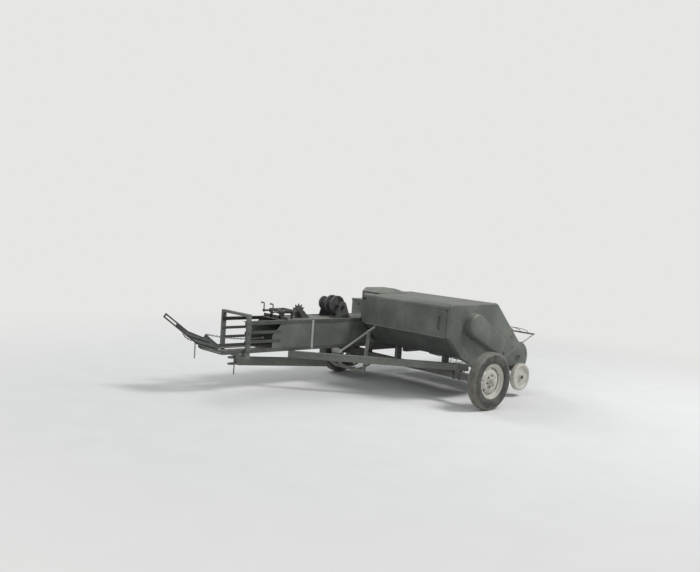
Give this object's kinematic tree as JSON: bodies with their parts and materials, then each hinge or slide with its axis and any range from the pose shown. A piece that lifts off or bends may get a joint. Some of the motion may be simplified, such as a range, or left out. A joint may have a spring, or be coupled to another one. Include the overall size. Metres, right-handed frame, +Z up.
{
  "type": "square baler",
  "caption": "Trailed square baler with a side pickup, cross auger, bale chamber, knotter, flywheel drive, swinging drawbar and rear bale chute, parked on its jack.",
  "frame": {"origin": "on the ground under the middle of the baler's box", "axes": "+X is the way it is towed, +Y its left, +Z up"},
  "size_m": [5.909, 2.926, 1.246],
  "materials": {
    "paint": "weathered enamel",
    "paint_light": "weathered enamel",
    "paint_dark": "dull enamel",
    "wheel_paint": "off-white enamel",
    "rubber": "worn rubber",
    "bare_steel": "worn bare steel",
    "cast": "oily cast iron"
  },
  "bodies": {
    "frame": {"case_floor": "paint_dark", "case_side_right": "paint", "case_side_left": "paint", "case_top": "paint", "lower_rails": "paint_dark", "upper_rails": "paint_dark", "side_rails": "paint_dark", "tension_gear": "bare_steel", "rear_hoop": "paint", "knotter_frame": "cast", "metering_arm": "paint_dark", "front_frame": "paint_dark", "gearbox": "cast", "axle": "paint_dark", "diagonal_beam": "paint", "feeder_stay": "paint_light", "wagon_hitch": "paint", "hitch_beam": "paint", "wagon_pin": "bare_steel", "hood_shell": "paint", "hood_end_panel": "paint", "hood_hump": "paint", "drive_cover": "paint_light", "feeder_deck": "paint_dark", "twine_box": "paint"},
    "knotter_shaft": {"knotter_shaft": "cast"},
    "metering_wheel": {"metering_wheel": "cast"},
    "needle_yoke": {"needle_yoke": "paint_light"},
    "flywheel": {"flywheel": "paint_light"},
    "wheel_right": {"wheel_right": "wheel_paint", "tyre_right": "rubber"},
    "wheel_left": {"wheel_left": "wheel_paint", "tyre_left": "rubber"},
    "rear_door": {"rear_door": "paint", "door_latch": "bare_steel"},
    "auger": {"auger": "bare_steel"},
    "pickup": {"pickup_frame": "paint", "stripper_bands": "paint_light", "gauge_bracket": "paint_dark"},
    "pickup_reel": {"pickup_reel": "bare_steel"},
    "wind_guard": {"wind_guard": "bare_steel"},
    "gauge_wheel": {"gauge_wheel": "wheel_paint"},
    "drawbar": {"drawbar": "paint", "pto_stand": "paint_dark"},
    "pto_shaft": {"pto_shaft": "bare_steel"},
    "jack": {"jack_tube": "paint_light", "jack_foot": "bare_steel"},
    "twine_lid": {"twine_lid": "paint_light"},
    "bale_chute": {"bale_chute": "paint_dark", "chute_chains": "bare_steel"}
  },
  "joints": [
    {"name": "wheel_right_turn", "type": "hinge", "parent": "frame", "child": "wheel_right", "pos_m": [-0.03045, -1.368, 0.34], "axis": [0, 1, 0], "continuous": true},
    {"name": "wheel_left_turn", "type": "hinge", "parent": "frame", "child": "wheel_left", "pos_m": [-0.03045, 1.242, 0.34], "axis": [0, 1, 0], "continuous": true},
    {"name": "flywheel_turn", "type": "hinge", "parent": "frame", "child": "flywheel", "pos_m": [1.66955, 0.817, 0.7], "axis": [1, 0, 0], "continuous": true},
    {"name": "knotter_turn", "type": "hinge", "parent": "frame", "child": "knotter_shaft", "pos_m": [-0.57045, 0.817, 0.995], "axis": [0, 1, 0], "continuous": true},
    {"name": "metering_turn", "type": "hinge", "parent": "frame", "child": "metering_wheel", "pos_m": [-1.17045, 0.817, 0.91], "axis": [0, 1, 0], "continuous": true},
    {"name": "needle_swing", "type": "hinge", "parent": "frame", "child": "needle_yoke", "pos_m": [-0.18045, 0.817, 0.66], "axis": [0, 1, 0], "range_deg": [0, 54]},
    {"name": "rear_door_open", "type": "hinge", "parent": "frame", "child": "rear_door", "pos_m": [-0.32045, -0.193, 1.112], "axis": [0, 1, 0], "range_deg": [0, 95]},
    {"name": "auger_turn", "type": "hinge", "parent": "frame", "child": "auger", "pos_m": [0.29955, -0.183, 0.745], "axis": [0, 1, 0], "continuous": true},
    {"name": "pickup_lift", "type": "hinge", "parent": "frame", "child": "pickup", "pos_m": [0.79955, -0.183, 0.56], "axis": [0, 1, 0], "range_deg": [-8, 16]},
    {"name": "reel_turn", "type": "hinge", "parent": "pickup", "child": "pickup_reel", "pos_m": [1.13955, -0.183, 0.48], "axis": [0, 1, 0], "continuous": true},
    {"name": "wind_guard_lift", "type": "hinge", "parent": "pickup", "child": "wind_guard", "pos_m": [0.86955, -0.183, 0.655], "axis": [0, 1, 0], "range_deg": [-30, 0]},
    {"name": "gauge_turn", "type": "hinge", "parent": "pickup", "child": "gauge_wheel", "pos_m": [1.00155, -1.063, 0.258], "axis": [0, 1, 0], "continuous": true},
    {"name": "drawbar_swing", "type": "hinge", "parent": "frame", "child": "drawbar", "pos_m": [1.92955, 0.817, 0.34], "axis": [0, 0, 1], "range_deg": [-25, 15]},
    {"name": "pto_turn", "type": "hinge", "parent": "drawbar", "child": "pto_shaft", "pos_m": [2.26955, 0.817, 0.7], "axis": [1, 0, 0], "continuous": true},
    {"name": "jack_fold", "type": "hinge", "parent": "drawbar", "child": "jack", "pos_m": [2.44955, 0.927, 0.34], "axis": [0, 1, 0], "range_deg": [0, 90]},
    {"name": "lid_open", "type": "hinge", "parent": "frame", "child": "twine_lid", "pos_m": [0.66955, 1.06, 1.002], "axis": [1, 0, 0], "range_deg": [0, 100]},
    {"name": "chute_tilt", "type": "hinge", "parent": "frame", "child": "bale_chute", "pos_m": [-2.44245, 0.817, 0.499], "axis": [0, 1, 0], "range_deg": [-30, 50]}
  ]
}
